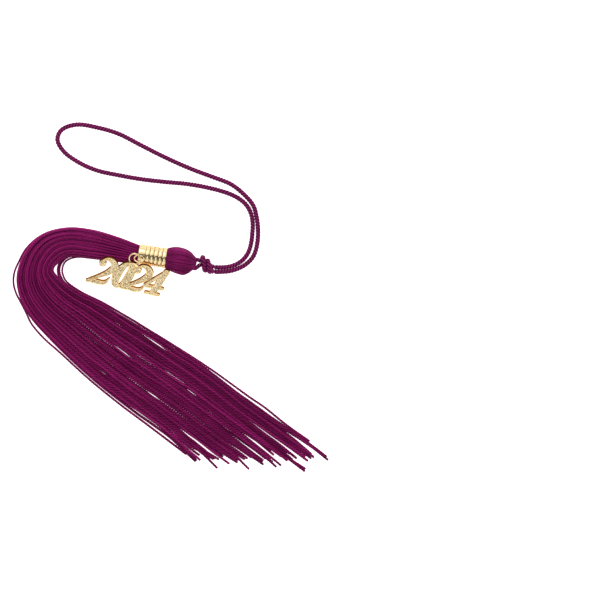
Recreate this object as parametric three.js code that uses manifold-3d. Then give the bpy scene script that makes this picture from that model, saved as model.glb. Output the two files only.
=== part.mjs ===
// Graduation tassel lying on a table: cord loop and knot, yarn head, ribbed metal ferrule,
// long fringe laid in a bend, and a year charm on a jump ring. Millimetres, +Z up.
import * as THREE from 'three';
import { mergeVertices } from 'three/addons/utils/BufferGeometryUtils.js';
import Module from 'manifold-3d';

const wasm = await Module();
wasm.setup();

// The layout is drawn about its own zero; this point of it becomes the part's origin.
const LAYOUT_ORIGIN = new THREE.Vector3(-3.32, 3.97, 0);

// Ferrule, along its own axis from the rim on the fringe side
const RIM_CENTRE = new THREE.Vector3(-16.25, 49.15, 6.2);
const FERRULE_HEADING = THREE.MathUtils.degToRad(-8.5);
const FERRULE_LENGTH = 14;
const FERRULE_RADIUS = 5;
const BORE_RADIUS = 4.6;
const BAND_LENGTH = 3.5;
const BEAD_COUNT = 5;
const GROOVE_DEPTH = 0.35;
const FERRULE_SIDES = 32;
const YARN_LATHE_SIDES = 24;

// Facets of bent wire: around its section and along the ring
const WIRE_SIDES = 8;
const WIRE_STEPS = 28;

// Hole in the ferrule's band, and the jump ring through it
const HOLE_ANGLE = THREE.MathUtils.degToRad(14.3);
const HOLE_FROM_RIM = 2.5;
const HOLE_RADIUS = 0.85;
const JUMP_RING_RADIUS = 2.4;
const JUMP_WIRE_RADIUS = 0.3;
const JUMP_RING_LEAN = THREE.MathUtils.degToRad(45);
const JUMP_RING_FROM_RIM = 0.75;
const JUMP_RING_RISE = 1.6;

// Charm plate: own frame with x along the numerals' base line, y up the numerals
const CHARM_CORNER = new THREE.Vector3(-43.25, 35.75, 0.95);
const CHARM_HEADING = THREE.MathUtils.degToRad(-11.6);
const CHARM_TILT = THREE.MathUtils.degToRad(33);
const CHARM_THICKNESS = 1.6;
const RIM_WIDTH = 0.42;
const INLAY_GAP = 0.08;
const INLAY_FLOOR = 0.2;
const INLAY_TOP = 0.72;
const TWO_PITCH = 17.9;
const BAIL_CENTRE = [22.4, 18.84];
const BAIL_RADIUS = 2.7;
const BAIL_STRETCH = 1.12;
const BAIL_WIRE_RADIUS = 0.33;

// Numerals: strokes as [x, y, half width]
const TWO_STROKES = [
  [[6.5, 13.9, 0.55], [8.9, 15.75, 0.75], [12.0, 15.0, 1.45], [13.3, 11.9, 1.85],
    [10.8, 8.3, 1.5], [6.4, 4.8, 1.0], [2.0, 1.7, 0.8]],
  [[7.0, 12.6, 1.75], [7.3, 12.8, 1.75]],
  [[1.0, 0.95, 0.85], [4.6, 1.35, 1.2], [8.4, 1.25, 1.2], [10.3, 2.3, 0.8], [11.7, 4.6, 0.35]],
];
const FOUR_STROKES = [
  [[39.4, 15.3, 0.9], [34.2, 9.9, 0.95], [29.8, 5.1, 0.9]],
  [[29.8, 4.8, 0.9], [34.2, 4.8, 0.95], [38.8, 4.8, 0.9]],
  [[39.2, 14.9, 1.6], [36.6, 7.9, 1.75], [34.4, 1.6, 1.6]],
  [[30.8, 0.85, 0.8], [34.2, 0.85, 0.85], [37.4, 0.85, 0.8]],
];
const LUG_STROKE = [[20.6, 15.4, 0.75], [22.7, 15.7, 0.8], [25.0, 14.6, 0.75]];
const LUG_THICKNESS = 0.6;
const ZERO_CENTRE = [18.4, 8.25];
const ZERO_SIZE = [5.3, 8.2];
const ZERO_SLOT = [0.75, 5.7];
const ZERO_SLANT = 0.27;

// Yarn head: profile as [distance from rim, radius], and its flattening on the table
const HEAD_PROFILE = [
  [6.3, 0], [6.3, 3.9], [13.6, 3.9], [14.15, 4.8], [15.3, 5.6], [17.6, 6.6], [20.5, 7.05],
  [23.2, 6.9], [25.4, 5.7], [27.0, 4.2], [28.1, 2.6], [28.5, 0],
];
const HEAD_FLATTENING = 0.92;
const TABLE = { wide: 60, deep: 20 };
const BINDING = { from: 7.2, length: 4.5, inner: 4.05, outer: 4.42 };

// Cord: eye in the head, knot, and the long hanging loop
const CORD_RADIUS = 1;
const CORD_SIDES = 8;
const EYE_CLEARANCE = 0.3;
const EYE_ROUTE = [
  [31.0, 1.1], [29.8, 1.9], [28.2, 2.4], [26.6, 2.3], [25.2, 1.2], [24.8, -0.25],
  [25.2, -1.7], [26.6, -2.7], [28.2, -2.8], [29.8, -2.1], [31.0, -1.1],
];
const EYE_PIVOT_FROM_RIM = 26.5;
const CORD_SWING_MAX = 15;
const CORD_SWING_PARTS = [-1, -0.5, 0, 0.5, 1];
const EYE_STEPS = 18;
const EYE_SWEEP_STEPS = 14;
const KNOT_CENTRE = new THREE.Vector3(17.5, 43.9, 4.75);
const KNOT_HEADING = THREE.MathUtils.degToRad(-24);
const KNOT_CORE = { along: 2.9, across: 3.4 };
const KNOT_COIL = { radius: 3.3, wire: 1.15, steps: 20 };
const KNOT_COILS = [{ along: -1.1, lean: 0.32 }, { along: 1.3, lean: -0.38 }];
const HANGING_ROUTE = [
  [21.2, 42.7, 2.6], [26, 42.7, 1.4], [30.4, 43.5, 1.06], [34.8, 45.6, 1.06], [38, 49.3, 1.06],
  [39.7, 54.2, 1.06], [40.3, 59.7, 1.06], [40.2, 64.6, 1.06], [39.6, 69.2, 1.06], [37.8, 73.2, 1.06],
  [34.6, 76.3, 1.06], [29.3, 79.2, 1.06], [19.5, 82.1, 1.06], [8, 84.2, 1.06], [-3.5, 85.3, 1.06],
  [-14.8, 86.6, 1.06], [-26.3, 88.6, 1.06], [-37.8, 91.2, 1.06], [-47.5, 95.7, 1.06], [-54.3, 101, 1.06],
  [-57, 106.5, 1.06], [-55, 111.2, 1.06], [-47.5, 113.9, 1.06], [-36, 112.2, 1.06], [-26.4, 109.3, 1.06],
  [-15, 103.5, 1.06], [-3.5, 97.7, 1.06], [9.8, 91.8, 1.06], [21.3, 87.5, 1.06], [29.6, 84.2, 1.06],
  [36.1, 79.2, 1.06], [40.9, 73.5, 1.06], [43, 67.6, 1.06], [43.5, 61.2, 1.06], [42.9, 54.5, 1.06],
  [41, 48.2, 1.06], [36.8, 43.8, 1.06], [30.8, 41, 1.06], [26, 40.3, 1.4], [21.2, 40.3, 2.6],
];
const HANGING_STEPS = 76;

// Fringe: outer and inner edge of the laid yarn, its middle height, how far it reaches
// below and above that, and how square its section is
const FRINGE_STATIONS = [
  { outer: [-26.75, 57.75], inner: [-29.25, 45.75], middle: 4.3, below: 4.3, above: 4.0, square: 2.3 },
  { outer: [-39.75, 61.55], inner: [-40.75, 47.05], middle: 3.0, below: 3.0, above: 3.7, square: 2.8 },
  { outer: [-52.75, 62.65], inner: [-49.75, 48.1], middle: 2.2, below: 2.2, above: 3.6, square: 3.2 },
  { outer: [-64.75, 59.45], inner: [-53.5, 46.5], middle: 1.5, below: 1.5, above: 3.5, square: 3.6 },
  { outer: [-73.25, 51.25], inner: [-55.1, 43.25], middle: 1, below: 1, above: 3.3, square: 4 },
  { outer: [-77.75, 39.25], inner: [-54.95, 40], middle: 0.6, below: 0.6, above: 3.2, square: 4.4 },
  { outer: [-77, 29.75], inner: [-52.75, 35.75], middle: 0.3, below: 0.3, above: 3.1, square: 5 },
  { outer: [-72, 18.75], inner: [-45.75, 31], middle: 0, below: 0, above: 3, square: 5 },
  { outer: [-60.75, 5.75], inner: [-33.25, 25.25], middle: 0, below: 0, above: 2.8, square: 5 },
  { outer: [-43.75, -10.65], inner: [-19.25, 17.25], middle: 0, below: 0, above: 2.7, square: 5 },
  { outer: [-25.75, -25.4], inner: [0.25, 5.25], middle: 0, below: 0, above: 2.6, square: 5 },
  { outer: [-8.25, -38.25], inner: [19.25, -7], middle: 0, below: 0, above: 2.6, square: 5 },
  { outer: [9.25, -51.75], inner: [39.25, -22.25], middle: 0, below: 0, above: 2.5, square: 5 },
  { outer: [30.5, -67], inner: [71.5, -46], middle: 0, below: 0, above: 2.4, square: 5 },
];
const FRINGE_IN_FERRULE = {
  at: [5.9, 2.5, 0, -2.5], half: 4.1, middle: 5.75, below: 3.75, above: 3.75, square: 2,
};
const FRINGE_COLUMNS = 8;
const FRINGE_STEPS = 24;
const FRINGE_SIDES = 8;
const FRINGE_GAP = 0.3;
const FRINGE_EDGE = 0.97;
const TIP_REACH = { middle: 0.82, slope: 0.55, droop: 0.2 };

const LOOKS = {
  yarn: { color: 0x6b1546, roughness: 0.75, metalness: 0 },
  gold: { color: 0xd9a441, roughness: 0.2, metalness: 1 },
  inlay: { color: 0xe3cf9a, roughness: 0.35, metalness: 0.6 },
};

function named(name, geometry, look) {
  const mesh = new THREE.Mesh(geometry, new THREE.MeshStandardMaterial(LOOKS[look]));
  mesh.name = name;
  return mesh;
}

function toManifold(geometry) {
  const bare = new THREE.BufferGeometry();
  bare.setAttribute('position', geometry.getAttribute('position').clone());
  if (geometry.index) bare.setIndex(geometry.index.clone());
  const merged = mergeVertices(bare, 1e-4);
  return new wasm.Manifold(new wasm.Mesh({
    numProp: 3,
    vertProperties: new Float32Array(merged.getAttribute('position').array),
    triVerts: new Uint32Array(merged.index.array),
  }));
}

function toGeometry(solid) {
  const mesh = solid.getMesh();
  const geometry = new THREE.BufferGeometry();
  geometry.setAttribute('position', new THREE.BufferAttribute(new Float32Array(mesh.vertProperties), 3));
  geometry.setIndex(new THREE.BufferAttribute(new Uint32Array(mesh.triVerts), 1));
  geometry.computeVertexNormals();
  return geometry;
}

function union(geometries) {
  return geometries.map(toManifold).reduce((all, one) => all.add(one));
}

// Frame of the ferrule: x from the rim towards the head, y across, z up
function ferruleFrame() {
  return new THREE.Matrix4().makeRotationZ(FERRULE_HEADING).setPosition(RIM_CENTRE);
}

function charmFrame() {
  return new THREE.Matrix4().makeRotationZ(CHARM_HEADING)
    .multiply(new THREE.Matrix4().makeRotationX(CHARM_TILT))
    .setPosition(CHARM_CORNER);
}

// Solid of revolution about the x axis from [x, radius] points that start and end on it or close
function lathe(points, sides) {
  const outline = points.map(([x, r]) => new THREE.Vector2(r, x));
  const geometry = new THREE.LatheGeometry(outline, sides);
  return geometry.rotateZ(-Math.PI / 2);
}

function tube(points, radius, steps, sides) {
  const path = new THREE.CatmullRomCurve3(points, false, 'centripetal');
  const section = new THREE.Shape();
  for (let i = 0; i < sides; i += 1) {
    const angle = (2 * Math.PI * i) / sides;
    const corner = [radius * Math.cos(angle), radius * Math.sin(angle)];
    if (i === 0) section.moveTo(...corner);
    else section.lineTo(...corner);
  }
  return new THREE.ExtrudeGeometry(section, { steps, extrudePath: path, bevelEnabled: false });
}

function ferruleProfile() {
  const pitch = (FERRULE_LENGTH - BAND_LENGTH) / BEAD_COUNT;
  const points = [[0, BORE_RADIUS], [0, FERRULE_RADIUS - 0.12], [0.12, FERRULE_RADIUS],
    [BAND_LENGTH - 0.2, FERRULE_RADIUS]];
  for (let bead = 0; bead < BEAD_COUNT; bead += 1) {
    const start = BAND_LENGTH + bead * pitch;
    points.push([start, FERRULE_RADIUS - GROOVE_DEPTH]);
    for (const [along, drop] of [[0.18, 0.1], [0.5, 0], [0.82, 0.1]]) {
      points.push([start + along * pitch, FERRULE_RADIUS + 0.05 - drop]);
    }
  }
  points.push([FERRULE_LENGTH, FERRULE_RADIUS - GROOVE_DEPTH], [FERRULE_LENGTH, BORE_RADIUS],
    [0, BORE_RADIUS]);
  return points;
}

function ferrule() {
  const shell = toManifold(lathe(ferruleProfile(), FERRULE_SIDES));
  const drill = new THREE.CylinderGeometry(HOLE_RADIUS, HOLE_RADIUS, FERRULE_RADIUS, 16)
    .rotateX(Math.PI / 2)
    .translate(0, 0, FERRULE_RADIUS)
    .rotateX(HOLE_ANGLE)
    .translate(HOLE_FROM_RIM, 0, 0);
  return toGeometry(shell.subtract(toManifold(drill))).applyMatrix4(ferruleFrame());
}

// Middle of the ferrule's wall where the jump ring hangs, in the ferrule's frame
function wallPoint() {
  const middle = (FERRULE_RADIUS + BORE_RADIUS) / 2;
  return new THREE.Vector3(JUMP_RING_FROM_RIM, -middle * Math.sin(HOLE_ANGLE), middle * Math.cos(HOLE_ANGLE));
}

function jumpRing() {
  const rise = new THREE.Vector3(0, -Math.sin(JUMP_RING_LEAN), Math.cos(JUMP_RING_LEAN));
  const centre = wallPoint().addScaledVector(rise, JUMP_RING_RISE);
  return new THREE.TorusGeometry(JUMP_RING_RADIUS, JUMP_WIRE_RADIUS, WIRE_SIDES, WIRE_STEPS)
    .rotateX(Math.PI / 2)
    .rotateX(JUMP_RING_LEAN)
    .translate(centre.x, centre.y, centre.z)
    .applyMatrix4(ferruleFrame());
}

// Outline of a stroke drawn along [x, y, half width] points with round ends, made narrower by inset
function strokeShape(points, inset) {
  const curve = new THREE.CatmullRomCurve3(points.map(([x, y, half]) => new THREE.Vector3(x, y, half)));
  const steps = 3 * (points.length - 1);
  const left = [];
  const right = [];
  for (let i = 0; i <= steps; i += 1) {
    const at = curve.getPoint(i / steps);
    const along = curve.getTangent(i / steps).setZ(0).normalize();
    const half = at.z - inset;
    if (half > 0.12) {
      left.push(new THREE.Vector2(at.x - along.y * half, at.y + along.x * half));
      right.push(new THREE.Vector2(at.x + along.y * half, at.y - along.x * half));
    }
  }
  const cap = (from, to) => {
    const centre = from.clone().add(to).multiplyScalar(0.5);
    return [1, 2, 3].map((k) => from.clone().rotateAround(centre, (-Math.PI * k) / 4));
  };
  const last = left.length - 1;
  return new THREE.Shape([
    ...left, ...cap(left[last], right[last]), ...right.reverse(), ...cap(right[last], left[0]),
  ]);
}

function slab(shape, low, high) {
  return new THREE.ExtrudeGeometry(shape, { depth: high - low, bevelEnabled: false })
    .translate(0, 0, low);
}

function strokes(list, shift, inset, low, high) {
  const kept = list.filter((points) => Math.max(...points.map((p) => p[2])) - inset > 0.3);
  return union(kept.map((points) => {
    const moved = points.map(([x, y, half]) => [x + shift, y, half]);
    return slab(strokeShape(moved, inset), low, high);
  }));
}

function slantedEllipse([halfWidth, halfHeight], count) {
  const points = [];
  for (let i = 0; i < count; i += 1) {
    const angle = (2 * Math.PI * i) / count;
    const y = halfHeight * Math.sin(angle);
    points.push(new THREE.Vector2(
      ZERO_CENTRE[0] + halfWidth * Math.cos(angle) + ZERO_SLANT * y, ZERO_CENTRE[1] + y));
  }
  return points;
}

function zero(inset, low, high) {
  const outside = new THREE.Shape(slantedEllipse([ZERO_SIZE[0] - inset, ZERO_SIZE[1] - inset], 28));
  const slot = new THREE.Shape(slantedEllipse([ZERO_SLOT[0] + inset, ZERO_SLOT[1] + inset], 16));
  return toManifold(slab(outside, low, high)).subtract(toManifold(slab(slot, low - 1, high + 1)));
}

function numerals(inset, low, high) {
  return [
    strokes(TWO_STROKES, 0, inset, low, high),
    zero(inset, low, high),
    strokes(TWO_STROKES, TWO_PITCH, inset, low, high),
    strokes(FOUR_STROKES, 0, inset, low, high),
  ];
}

// Each numeral's inlay, cut back where the next numeral's rim crosses over it
function inlays(inset, growth, low, high) {
  const [first, middle, second, last] = numerals(inset, low, high);
  const [firstRim, , secondRim, lastRim] = numerals(-growth, low - 1, high + 1);
  return [
    first,
    middle.subtract(firstRim).subtract(secondRim),
    second.subtract(lastRim),
    last,
  ];
}

// Only the pieces of a cut inlay that are big enough to set are kept
function biggest(solid) {
  return solid.decompose().reduce((a, b) => (a.volume() > b.volume() ? a : b));
}

function charmPlate() {
  const half = CHARM_THICKNESS / 2;
  const plate = numerals(0, -half, half).reduce((all, one) => all.add(one))
    .add(toManifold(slab(strokeShape(LUG_STROKE, 0), -half * LUG_THICKNESS, half * LUG_THICKNESS)));
  const bail = new THREE.TorusGeometry(BAIL_RADIUS, BAIL_WIRE_RADIUS, WIRE_SIDES, WIRE_STEPS)
    .scale(1, BAIL_STRETCH, 1)
    .translate(BAIL_CENTRE[0], BAIL_CENTRE[1], 0);
  const recesses = inlays(RIM_WIDTH, 0, INLAY_FLOOR, half + 1).map(biggest);
  const cut = recesses.reduce((body, recess) => body.subtract(recess), plate);
  return toGeometry(cut.add(toManifold(bail))).applyMatrix4(charmFrame());
}

function charmInlays() {
  const names = ['charm_inlay_first_two', 'charm_inlay_zero', 'charm_inlay_second_two', 'charm_inlay_four'];
  return inlays(RIM_WIDTH + INLAY_GAP, INLAY_GAP, INLAY_FLOOR + INLAY_GAP, INLAY_TOP)
    .map((solid, i) => named(names[i], toGeometry(biggest(solid)).applyMatrix4(charmFrame()), 'inlay'));
}

function eyePoints() {
  return EYE_ROUTE.map(([x, y]) => new THREE.Vector3(x, y, 0));
}

function cordEye() {
  return tube(eyePoints(), CORD_RADIUS, EYE_STEPS, CORD_SIDES).applyMatrix4(ferruleFrame());
}

// Space the eye needs in the head as the cord swings
function eyeSweep() {
  const turns = CORD_SWING_PARTS.map((part) => THREE.MathUtils.degToRad(CORD_SWING_MAX) * part);
  const radius = CORD_RADIUS + EYE_CLEARANCE;
  return union(turns.map((turn) => tube(eyePoints(), radius, EYE_SWEEP_STEPS, CORD_SIDES)
    .translate(-EYE_PIVOT_FROM_RIM, 0, 0)
    .rotateZ(turn)
    .translate(EYE_PIVOT_FROM_RIM, 0, 0)));
}

function head() {
  const bulb = lathe(HEAD_PROFILE, YARN_LATHE_SIDES).scale(1, 1, HEAD_FLATTENING);
  const table = new THREE.BoxGeometry(TABLE.wide, TABLE.wide, TABLE.deep)
    .translate(TABLE.wide / 2, 0, -RIM_CENTRE.z - TABLE.deep / 2);
  const solid = toManifold(bulb).subtract(toManifold(table)).subtract(eyeSweep());
  return toGeometry(biggest(solid)).applyMatrix4(ferruleFrame());
}

function neckBinding() {
  const { from, length, inner, outer } = BINDING;
  const end = from + length;
  const points = [[from, inner], [from, outer], [end, outer], [end, inner], [from, inner]];
  return lathe(points, YARN_LATHE_SIDES).applyMatrix4(ferruleFrame());
}

function cordKnot() {
  const { radius, wire, steps } = KNOT_COIL;
  const core = new THREE.SphereGeometry(1, 14, 9).scale(KNOT_CORE.along, KNOT_CORE.across, KNOT_CORE.across);
  const turns = KNOT_COILS.map(({ along, lean }) => new THREE.TorusGeometry(radius, wire, CORD_SIDES, steps)
    .rotateY(Math.PI / 2)
    .rotateZ(lean)
    .translate(along, 0, 0));
  return toGeometry(union([core, ...turns]))
    .rotateZ(KNOT_HEADING)
    .translate(KNOT_CENTRE.x, KNOT_CENTRE.y, KNOT_CENTRE.z);
}

function hangingCord() {
  const points = HANGING_ROUTE.map(([x, y, z]) => new THREE.Vector3(x, y, z));
  return tube(points, CORD_RADIUS, HANGING_STEPS, CORD_SIDES);
}

// Stations of the fringe from inside the ferrule to the tips
function fringeStations() {
  const { at, half, ...section } = FRINGE_IN_FERRULE;
  const inside = at.map((along) => {
    const edge = (side) => new THREE.Vector3(along, side * half, 0).applyMatrix4(ferruleFrame());
    const outer = edge(1);
    const inner = edge(-1);
    return { outer: [outer.x, outer.y], inner: [inner.x, inner.y], ...section };
  });
  return [...inside, ...FRINGE_STATIONS];
}

const stations = fringeStations();
const outerEdge = new THREE.CatmullRomCurve3(
  stations.map(({ outer, middle }) => new THREE.Vector3(outer[0], outer[1], middle)));
const innerEdge = new THREE.CatmullRomCurve3(
  stations.map(({ inner, middle }) => new THREE.Vector3(inner[0], inner[1], middle)));
const reaches = new THREE.CatmullRomCurve3(
  stations.map(({ below, above, square }) => new THREE.Vector3(below, above, square)));

// Point of the laid yarn: part 0 to 1 along it, across -1 outer to 1 inner, level 0 under to 1 top
function fringePoint(part, across, level) {
  const outer = outerEdge.getPoint(part);
  const inner = innerEdge.getPoint(part);
  const { x: below, y: above, z: square } = reaches.getPoint(part);
  const at = outer.lerp(inner, (1 + across * FRINGE_EDGE) / 2);
  const fullness = (1 - Math.abs(across * FRINGE_EDGE) ** square) ** (1 / square);
  at.z = Math.max(0, at.z + fullness * (level * (above + below) - below));
  return at;
}

// How far along the stations a column's yarn ends
function tipPart(across) {
  const past = TIP_REACH.middle + TIP_REACH.slope * across - TIP_REACH.droop * across * across;
  const last = stations.length - 1;
  return (last - 1 + Math.min(1, Math.max(0.02, past))) / last;
}

function fringeLock(column, layer) {
  const middle = (2 * (column + 0.5)) / FRINGE_COLUMNS - 1;
  const positions = [];
  const end = tipPart(middle);
  for (let step = 0; step <= FRINGE_STEPS; step += 1) {
    const part = (end * step) / FRINGE_STEPS;
    const width = fringePoint(part, -1, 0).distanceTo(fringePoint(part, 1, 0));
    const height = fringePoint(part, middle, 1).z - fringePoint(part, middle, 0).z;
    const halfAcross = 1 / FRINGE_COLUMNS - FRINGE_GAP / width;
    const halfLevel = 0.25 - FRINGE_GAP / 4 / height;
    const level = layer === 0 ? halfLevel : 1 - halfLevel;
    for (let side = 0; side < FRINGE_SIDES; side += 1) {
      const angle = (2 * Math.PI * (side + 0.5)) / FRINGE_SIDES;
      const round = 1 / Math.cos(Math.PI / FRINGE_SIDES);
      const at = fringePoint(part, middle + halfAcross * Math.cos(angle) * round,
        level + halfLevel * Math.sin(angle) * round);
      positions.push(at.x, at.y, at.z);
    }
  }
  return ringSolid(positions, FRINGE_SIDES, FRINGE_STEPS);
}

// Closed solid from rings of points, with flat ends
function ringSolid(positions, sides, steps) {
  const index = [];
  for (let step = 0; step < steps; step += 1) {
    for (let side = 0; side < sides; side += 1) {
      const next = (side + 1) % sides;
      const a = step * sides + side;
      const b = step * sides + next;
      index.push(a, b, a + sides, b, b + sides, a + sides);
    }
  }
  const last = steps * sides;
  for (let side = 1; side < sides - 1; side += 1) {
    index.push(0, side + 1, side);
    index.push(last, last + side, last + side + 1);
  }
  const geometry = new THREE.BufferGeometry();
  geometry.setAttribute('position', new THREE.Float32BufferAttribute(positions, 3));
  geometry.setIndex(index);
  geometry.computeVertexNormals();
  return geometry;
}

function fringe() {
  const locks = [];
  for (const [layer, layerName] of ['lower', 'upper'].entries()) {
    for (let column = 0; column < FRINGE_COLUMNS; column += 1) {
      locks.push(named(`fringe_${layerName}_lock_${column + 1}`, fringeLock(column, layer), 'yarn'));
    }
  }
  return locks;
}

const part = new THREE.Group();
part.add(
  named('hanging_cord', hangingCord(), 'yarn'),
  named('cord_knot', cordKnot(), 'yarn'),
  named('cord_eye', cordEye(), 'yarn'),
  named('tassel_head', head(), 'yarn'),
  named('neck_binding', neckBinding(), 'yarn'),
  named('ferrule', ferrule(), 'gold'),
  named('jump_ring', jumpRing(), 'gold'),
  named('charm_plate', charmPlate(), 'gold'),
  ...charmInlays(),
  ...fringe(),
);
part.children.forEach((mesh) => mesh.geometry.translate(-LAYOUT_ORIGIN.x, -LAYOUT_ORIGIN.y, 0));

export default part;
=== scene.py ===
# Graduation tassel lying flat on a pale table: twisted cord loop and knot, yarn head, gold ferrule,
# fringe of twisted strands, and a glittered numeral charm on a jump ring.
import math
import bpy
import bmesh
import numpy as np
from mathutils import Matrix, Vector


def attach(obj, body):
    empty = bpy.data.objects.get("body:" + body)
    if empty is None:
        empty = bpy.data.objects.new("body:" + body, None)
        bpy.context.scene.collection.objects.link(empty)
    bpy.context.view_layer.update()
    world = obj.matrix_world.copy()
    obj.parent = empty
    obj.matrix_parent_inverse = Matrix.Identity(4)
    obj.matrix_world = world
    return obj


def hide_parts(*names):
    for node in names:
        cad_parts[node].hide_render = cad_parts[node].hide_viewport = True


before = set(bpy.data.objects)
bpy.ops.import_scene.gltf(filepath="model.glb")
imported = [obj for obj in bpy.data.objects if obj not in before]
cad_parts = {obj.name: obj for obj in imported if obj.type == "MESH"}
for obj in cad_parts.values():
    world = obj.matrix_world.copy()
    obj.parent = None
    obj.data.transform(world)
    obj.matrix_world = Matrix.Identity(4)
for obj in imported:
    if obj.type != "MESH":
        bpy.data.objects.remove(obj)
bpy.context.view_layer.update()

# Lengths in millimetres and angles in radians, unless a comment says metres
MM = 0.001
LAYOUT_ORIGIN = np.array([-3.32, 3.97, 0.0])

# Ferrule: middle of its rim on the fringe side, heading of its axis, and its size
RIM_CENTRE = np.array([-16.25, 49.15, 6.2])
FERRULE_HEADING = math.radians(-8.5)
FERRULE_LENGTH = 14.0
FERRULE_RADIUS = 5.0
BORE_RADIUS = 4.6
BAND_LENGTH = 3.5
BEAD_COUNT = 5
GROOVE_DEPTH = 0.42
FERRULE_SIDES = 144

# Hole in the ferrule's band, and the jump ring through it
HOLE_ANGLE = math.radians(14.3)
HOLE_FROM_RIM = 2.5
HOLE_RADIUS = 0.85
HOLE_SIDES = 48
HOLE_DRILL = (2.0, 8.0)
JUMP_RING_RADIUS = 2.4
JUMP_WIRE_RADIUS = 0.33
JUMP_RING_LEAN = math.radians(45)
JUMP_RING_FROM_RIM = 0.75
JUMP_RING_RISE = 1.6
JUMP_RING_SPLIT = 0.05
WIRE_STEPS = 120
WIRE_SIDES = 20

# Charm: lower left corner of its numerals, and the bail on top
CHARM_CORNER = np.array([-43.25, 35.75, 0.95])
CHARM_HEADING = math.radians(-11.6)
CHARM_TILT = math.radians(33)
TWO_PITCH = 17.9
BAIL_CENTRE = np.array([22.4, 18.84, 0.0])
BAIL_RADIUS = 2.7
BAIL_STRETCH = 1.12
BAIL_WIRE_RADIUS = 0.33

# Yarn
HEAD_FLATTENING = 0.92
CORD_RADIUS = 1.27
STRAND_RADIUS = 0.7

rng = np.random.default_rng(24)


# ---------------------------------------------------------------- frames and curves
def heading_matrix(angle):
    c, s = math.cos(angle), math.sin(angle)
    return np.array([[c, -s, 0], [s, c, 0], [0, 0, 1.0]])


def tilt_matrix(angle):
    c, s = math.cos(angle), math.sin(angle)
    return np.array([[1.0, 0, 0], [0, c, -s], [0, s, c]])


FERRULE_TURN = heading_matrix(FERRULE_HEADING)
CHARM_TURN = heading_matrix(CHARM_HEADING) @ tilt_matrix(CHARM_TILT)


def from_layout(points):
    """Layout millimetres to row-frame metres."""
    return (np.asarray(points, float) - LAYOUT_ORIGIN) * MM


def from_ferrule(points):
    """Points along, across and above the ferrule's axis, from its rim, to metres."""
    return from_layout(np.asarray(points, float) @ FERRULE_TURN.T + RIM_CENTRE)


def from_charm(points):
    return from_layout(np.asarray(points, float) @ CHARM_TURN.T + CHARM_CORNER)


def spline(points, count):
    """Centripetal Catmull-Rom through the points, count samples evenly over the spans."""
    pts = np.asarray(points, float)
    ends = np.vstack([2 * pts[0] - pts[1], pts, 2 * pts[-1] - pts[-2]])
    t = np.linspace(0, len(pts) - 1, count)
    i = np.minimum(t.astype(int), len(pts) - 2)
    w = (t - i)[:, None]
    p0, p1, p2, p3 = ends[i], ends[i + 1], ends[i + 2], ends[i + 3]
    d0 = np.maximum(np.linalg.norm(p1 - p0, axis=1, keepdims=True) ** 0.5, 1e-4)
    d1 = np.maximum(np.linalg.norm(p2 - p1, axis=1, keepdims=True) ** 0.5, 1e-4)
    d2 = np.maximum(np.linalg.norm(p3 - p2, axis=1, keepdims=True) ** 0.5, 1e-4)
    m1 = ((p1 - p0) / d0 - (p2 - p0) / (d0 + d1) + (p2 - p1) / d1) * d1
    m2 = ((p2 - p1) / d1 - (p3 - p1) / (d1 + d2) + (p3 - p2) / d2) * d1
    a = 2 * p1 - 2 * p2 + m1 + m2
    b = -3 * p1 + 3 * p2 - 2 * m1 - m2
    return ((a * w + b) * w + m1) * w + p1


def resample(points, step=None, count=None):
    """The same polyline with evenly spaced points."""
    seg = np.linalg.norm(np.diff(points, axis=0), axis=1)
    s = np.concatenate([[0], np.cumsum(seg)])
    n = count or max(3, int(round(s[-1] / step)) + 1)
    at = np.linspace(0, s[-1], n)
    return np.stack([np.interp(at, s, points[:, k]) for k in range(points.shape[1])], axis=1), s[-1]


def flat_frames(points):
    """Side and normal for a route that is never upright."""
    t = np.gradient(points, axis=0)
    t /= np.linalg.norm(t, axis=1, keepdims=True)
    side = np.cross(t, [0, 0, 1.0])
    side /= np.linalg.norm(side, axis=1, keepdims=True)
    return side, np.cross(side, t)


def carried_frames(points):
    """Side and normal carried along a route that may turn any way."""
    t = np.gradient(points, axis=0)
    t /= np.linalg.norm(t, axis=1, keepdims=True)
    side = np.zeros_like(t)
    first = np.cross(t[0], [0, 0, 1.0])
    if np.linalg.norm(first) < 0.2:
        first = np.cross(t[0], [0, 1.0, 0])
    side[0] = first / np.linalg.norm(first)
    for i in range(1, len(t)):
        v = side[i - 1] - t[i] * (side[i - 1] @ t[i])
        side[i] = v / np.linalg.norm(v)
    return side, np.cross(side, t)


# ---------------------------------------------------------------- meshes
END_ROUNDING = 0.5


def new_object(name, verts, faces, smooth=True):
    mesh = bpy.data.meshes.new(name)
    mesh.from_pydata([tuple(v) for v in verts], [], faces)
    mesh.validate()
    mesh.polygons.foreach_set("use_smooth", [smooth] * len(mesh.polygons))
    obj = bpy.data.objects.new(name, mesh)
    bpy.context.scene.collection.objects.link(obj)
    return obj


def finish_piece(obj, body, material, replaces=()):
    if material:
        obj.data.materials.append(material)
    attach(obj, body)
    if replaces:
        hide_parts(*replaces)
    return obj


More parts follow.
